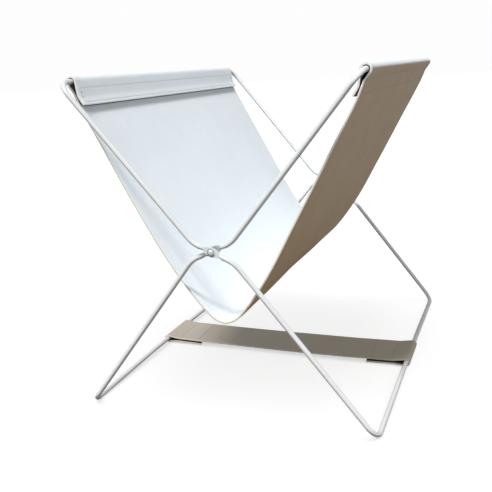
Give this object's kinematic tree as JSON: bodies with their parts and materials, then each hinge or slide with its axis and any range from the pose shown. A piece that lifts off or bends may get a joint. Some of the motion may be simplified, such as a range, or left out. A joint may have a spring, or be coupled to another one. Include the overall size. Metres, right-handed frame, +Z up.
{
  "type": "magazine rack",
  "caption": "Folding scissor-frame magazine rack of thin bent rod, with a wide leather sling hung between its top bars and a leather strap between its ground bars.",
  "frame": {"origin": "on the floor, midway between the feet", "axes": "+Z up, -Y the front (the side with the visible pivot), X across the scissor; the bars run along Y"},
  "size_m": [0.3132, 0.4618, 0.3398],
  "materials": {
    "rod": "satin off-white powder coat",
    "rivet": "satin",
    "sling": "smooth, matt, off-white inside and taupe outside",
    "strap": "smooth, matt taupe",
    "sling_thread": "waxed thread",
    "strap_thread": "waxed thread"
  },
  "bodies": {
    "frame_a": {"frame_a_top_bar": "rod", "frame_a_front_leg": "rod", "frame_a_rear_leg": "rod", "frame_a_ground_bar": "rod", "rivet_front": "rivet", "rivet_rear": "rivet", "spacer_front": "rivet", "spacer_rear": "rivet", "sling_left": "sling", "hem_stitching_left": "sling_thread", "strap": "strap", "strap_stitching_right": "strap_thread"},
    "frame_b": {"frame_b_top_bar": "rod", "frame_b_front_leg": "rod", "frame_b_rear_leg": "rod", "frame_b_ground_bar": "rod", "sling_right": "sling", "hem_stitching_right": "sling_thread", "strap_stitching_left": "strap_thread"}
  },
  "joints": [
    {"name": "scissor_fold", "type": "hinge", "parent": "frame_a", "child": "frame_b", "pos_m": [0, 0, 0.176], "axis": [0, -1, 0], "range_deg": [0, 70], "deforming": ["strap", "strap_stitching_left", "strap_stitching_right"]}
  ]
}
